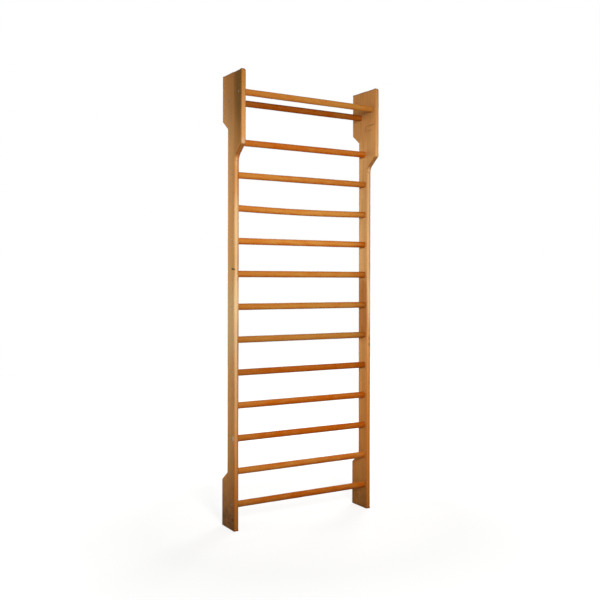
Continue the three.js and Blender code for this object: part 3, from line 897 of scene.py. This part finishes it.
def varnished_ash(name, colours):
    """Turned ash under orange amber varnish.

    It gives the eye long open pores along the stick and a soft gloss. The varnish differs from stick to stick
    and lies in brushed blots, pale in the middle band and deeper above and below it, partly as painted sheen
    and painted shade. It evens out at the left end. Painted shade darkens the sticks' tops and bottoms in the
    upper part of the middle band, their undersides, and the right ends of the sticks in reach, where they
    meet the upright and the varnish also lies deeper. The low sticks are painted lighter on top and darker
    underneath, as light from above falls on them. Real pores are 0.2 mm wide, and are drawn 0.8 mm wide so
    that they show.
    """
    ring_gap, pore_gap = 0.005, 0.0008
    blot_scale = (18, 70, 70)  # 55 mm along and 14 mm across the stick
    rim_shade_low, rim_shade_high = 1.05, 1.25  # heights between which the painted shade on the tops and bottoms comes in
    reach, rub_slope = 1.3, 0.2  # height at which the right ends darken most, and the climb of the pale band
    inner = OUTER - THICK
    left_from, right_from = -0.2, inner - 0.1  # where the sticks' ends begin
    material, shader, add = new_material(name)
    tone = add("Attribute", attribute_name="tone")["Fac"]
    amber = add("Attribute", attribute_name="amber")["Fac"]
    coordinates = add("TexCoord")
    place = coordinates["Object"]
    across, _, height = add("SeparateXYZ", place)
    facing = add("SeparateXYZ", coordinates["Normal"])["Z"]
    rings, pores, patch = wood_figure(add, ring_gap, pore_gap)
    dark = add("Math", rings, 0.3, operation="MULTIPLY")[0]
    for figure, weight in ((pores, 0.5), (patch, 1.0)):
        dark = add("Math", figure, weight, dark, operation="MULTIPLY_ADD")[0]
    dark = add("MapRange", dark, 0.5, 1.3)[0]
    colour = add(
        "Mix", {0: dark, 6: rgba(colours.rung_early), 7: rgba(colours.rung_late)}, data_type="RGBA",
    )[2]

    varnish = varnish_depth_and_painted_light(add, place, rub_slope)
    # Painted shade on the sticks' tops and bottoms, turned away from the light, in the middle band from 1.05
    # m up.
    rim_shade_band = add("MapRange", height, rim_shade_low, rim_shade_high)[0]
    rim_shade_band = add("MapRange", varnish, 0.6, 0.1, 0.0, rim_shade_band)[0]
    turned_away = add("Math", facing, operation="ABSOLUTE")[0]
    top_bottom_shade = add("MapRange", turned_away, 0.15, 0.85, 0.0, 0.4)[0]
    # Painted shade on the undersides.
    under = add("MapRange", facing, 0.1, -0.9, 0.0, 0.2)[0]
    top_bottom_shade = add("Math", top_bottom_shade, rim_shade_band, under, operation="MULTIPLY_ADD")[0]
    uneven = add("MapRange", patch, 0.3, 0.7, -0.2, 0.15)[0]
    blot = add("Mapping", {"Vector": place, "Scale": blot_scale})[0]
    blot = add("TexNoise", {"Vector": blot, "Scale": 1, "Detail": 3})["Fac"]
    blot = add("MapRange", blot, 0.3, 0.7, -0.3, 0.3)[0]
    left_end = add("MapRange", across, left_from, -inner, 0.0, 0.65, interpolation_type="SMOOTHSTEP")[0]
    # The right ends of the sticks near 1.3 m darken where they meet the upright: deeper varnish, and painted
    # shade.
    away = add("Math", height, reach, operation="SUBTRACT")[0]
    away = add("Math", away, operation="ABSOLUTE")[0]
    end_darkening_height = add("MapRange", away, 0.35, 1.0, 1.0, 0.2)[0]
    right_end = add("MapRange", across, right_from, inner, 0.0, end_darkening_height)[0]
    gathered = add("Math", right_end, 1.6, operation="POWER")[0]
    deep = add("Math", varnish, 0.7, amber, operation="MULTIPLY_ADD")[0]
    for extra in (uneven, blot):
        deep = add("Math", deep, extra, operation="ADD")[0]
    deep = add("Mix", {0: left_end, 2: deep, 3: 0.35})[0]
    for extra, weight in ((top_bottom_shade, 1.0), (gathered, 0.65)):
        deep = add("Math", extra, weight, deep, operation="MULTIPLY_ADD")[0]
    # Painted shade at the right ends.
    right_end_shade = add("Math", right_end, -0.26, 1.0, operation="MULTIPLY_ADD")[0]
    # Painted light and shade: the low sticks lighter on top and darker underneath, the high ones a touch
    # darker on top.
    top_light_by_height = add("MapRange", height, 0.8, 0.1, -0.02, 0.32)[0]
    worn = add("Math", top_light_by_height, facing, 1.0, operation="MULTIPLY_ADD")[0]
    for factor in (right_end_shade, worn):
        tone = add("Math", tone, factor, operation="MULTIPLY")[0]
    shade = add("CombineXYZ", tone, tone, tone)[0]
    for amount, tint in ((deep, rgba(colours.rung_varnish)), (1.0, shade)):
        colour = add("Mix", {0: amount, 6: colour, 7: tint}, data_type="RGBA", blend_type="MULTIPLY")[2]

    rough = add("MapRange", pores, 0.3, 0.7, 0.34, 0.46)[0]
    bump = add("Bump", {"Strength": 0.1, "Distance": 0.0005, "Height": pores})[0]
    feed(shader, {"Base Color": colour, "Roughness": rough, "Normal": bump, "Specular IOR Level": 0.03})
    return material


def bare_beech(name, colours):
    """Bare beech dowels: pale, dull, with short flecks along the grain."""
    fleck_scale = (700, 700, 90)  # 1.4 mm across and 11 mm along the grain
    material, shader, add = new_material(name)
    grain = add("Attribute", attribute_name="grain")["Vector"]
    fleck = add("Mapping", {"Vector": grain, "Scale": fleck_scale})[0]
    fleck = add("TexNoise", {"Vector": fleck, "Scale": 1, "Detail": 2})["Fac"]
    pale = rgba(colours.dowel)
    deep = rgba([channel * 0.7 for channel in colours.dowel])
    colour = add("Mix", {0: fleck, 6: pale, 7: deep}, data_type="RGBA")[2]
    feed(shader, {"Base Color": colour, "Roughness": 0.7})
    return material


def zinc_steel(name, colours):
    """Zinc plated steel, dulled by age: a grey blue metal with cloudy roughness."""
    cloud_scale = 350  # 3 mm
    material, shader, add = new_material(name)
    place = add("TexCoord")["Object"]
    cloud = add("TexNoise", {"Vector": place, "Scale": cloud_scale, "Detail": 3})["Fac"]
    bright = rgba(colours.zinc)
    dull = rgba([channel * 0.55 for channel in colours.zinc])
    colour = add("Mix", {0: cloud, 6: bright, 7: dull}, data_type="RGBA")[2]
    rough = add("MapRange", cloud, 0.3, 0.7, 0.3, 0.5)[0]
    feed(shader, {"Base Color": colour, "Roughness": rough, "Metallic": 1.0})
    return material


# Stage


def area_light(name, place, target, size, power, spread):
    """A square soft box at a place, turned towards a target, that the camera doesn't see."""
    data = bpy.data.lights.new(name, "AREA")
    data.size = size
    data.energy = power
    data.spread = math.radians(spread)
    light = placed(name, data)
    light.location = place
    light.rotation_euler = (Vector(target) - Vector(place)).to_track_quat("-Z", "Y").to_euler()
    light.visible_camera = False


def photo_camera():
    """The camera that was worked out from the photograph: lens, place and a small pitch and roll."""
    picture = 600  # pixels across, and the next three are in pixels too
    focal_length, centre_across, centre_down = 818.8, 326.85, 283.5
    yaw, pitch, roll = (math.radians(angle) for angle in (31.72, 0.22, 0.12))
    back, aside, above = 4.67544, 0.11969, 1.36605  # metres from the floor under the stiles' front edges
    heading = Matrix.Rotation(-yaw, 4, "Z")
    tilt = Matrix.Rotation(math.pi / 2 - pitch, 4, "X") @ Matrix.Rotation(roll, 4, "Z")
    place = heading @ Vector((aside, -back, above)) + Vector((0, STILE_LOW.y, 0))
    data = bpy.data.cameras.new("photo_camera")
    data.sensor_width = 36
    data.lens = focal_length / picture * data.sensor_width
    data.shift_x = (picture / 2 - centre_across) / picture
    data.shift_y = (centre_down - picture / 2) / picture
    camera = placed("photo_camera", data)
    camera.matrix_world = Matrix.Translation(place) @ heading @ tilt
    bpy.context.scene.camera = camera


def seen_ray(add):
    """1 for what is seen by the eye, in gloss or through glass, and 0 for light that falls on things."""
    path = add("LightPath")
    seen = path["Is Camera Ray"]
    for ray in ("Is Glossy Ray", "Is Transmission Ray"):
        seen = add("Math", seen, path[ray], operation="MAXIMUM")[0]
    return seen


def pale_world():
    """A white surround to the eye, and a dimmer light on things that comes mostly from a pale ceiling."""
    from_floor, from_ceiling = 0.05, 0.27
    world = bpy.data.worlds.new("pale_studio")
    bpy.context.scene.world = world
    world.use_nodes = True
    add = partial(add_node, world.node_tree)
    heading = add("TexCoord")["Generated"]
    rise = add("SeparateXYZ", heading)["Z"]
    fall = add("MapRange", rise, -1.0, 1.0, from_floor, from_ceiling)[0]
    strength = add("Mix", {0: seen_ray(add), 2: fall, 3: 1.0})[0]
    feed(world.node_tree.nodes["Background"], {"Color": WHITE, "Strength": strength})


def pale_floor(colours):
    """A pale floor that keeps the shadow: plain diffuse paint, with a white glow that only the eye sees.

    The glow grows from where the shadow lies and is full from 2.2 m away, so that the floor runs into the
    white surround.
    """
    half, drop = 8.0, -0.0005
    shadow_end, white_from, shadow_glow = 0.9, 2.2, 0.755
    corners = [(-half, -half, drop), (half, -half, drop), (half, half, drop), (-half, half, drop)]
    mesh = bpy.data.meshes.new("floor")
    mesh.from_pydata(corners, [], [(0, 1, 2, 3)])
    material, shader, add = new_material("pale_matt_floor_paint")
    place = add("TexCoord")["Object"]
    away = add("VectorMath", place, operation="LENGTH")["Value"]
    glow = add("MapRange", away, shadow_end, white_from, shadow_glow, 1.0)[0]
    glow = add("Math", seen_ray(add), glow, operation="MULTIPLY")[0]
    paint = {"Base Color": rgba(colours.floor), "Roughness": 0.9, "Specular IOR Level": 0.0}
    feed(shader, {**paint, "Emission Color": WHITE, "Emission Strength": glow})
    mesh.materials.append(material)
    floor = placed("floor", mesh)


class WALLBARS_OT_stage(bpy.types.Operator):
    """Make the pale floor, the soft lights and the camera at the photograph's angle"""

    bl_idname = "wall_bars.stage"
    bl_label = "Stage"

    def execute(self, context):
        context.scene.view_settings.view_transform = "Standard"
        pale_world()
        pale_floor(context.scene.wall_bars.colours)
        for soft_box in SOFT_BOXES:
            area_light(*soft_box)
        photo_camera()
        return {"FINISHED"}


class WALLBARS_PT_panel(bpy.types.Panel):
    """Lists what the wall bars are built from"""

    bl_label = "Wall Bars"
    bl_idname = "WALLBARS_PT_panel"
    bl_space_type = "VIEW_3D"
    bl_region_type = "UI"
    bl_category = "Wall Bars"

    def draw(self, context):
        settings = context.scene.wall_bars
        for operator in OPERATORS:
            self.layout.operator(operator.bl_idname)
        for group in (settings.upright, settings.rung, settings.colours):
            box = self.layout.box()
            for name in group.__annotations__:
                box.prop(group, name)


OPERATORS = (
    WALLBARS_OT_uprights,
    WALLBARS_OT_rungs,
    WALLBARS_OT_screws,
    WALLBARS_OT_dowels,
    WALLBARS_OT_stage,
)
CLASSES = (
    WallBarsUprightSizes,
    WallBarsRungSizes,
    WallBarsColours,
    WallBarsSettings,
    *OPERATORS,
    WALLBARS_PT_panel,
)


def register():
    for cls in CLASSES:
        bpy.utils.register_class(cls)
    bpy.types.Scene.wall_bars = bpy.props.PointerProperty(type=WallBarsSettings)


def unregister():
    del bpy.types.Scene.wall_bars
    for cls in reversed(CLASSES):
        bpy.utils.unregister_class(cls)


def main():
    """Builds everything in order."""
    register()
    bpy.ops.wall_bars.uprights()
    bpy.ops.wall_bars.rungs()
    bpy.ops.wall_bars.screws()
    bpy.ops.wall_bars.dowels()
    bpy.ops.wall_bars.stage()


if __name__ == "__main__":
    main()
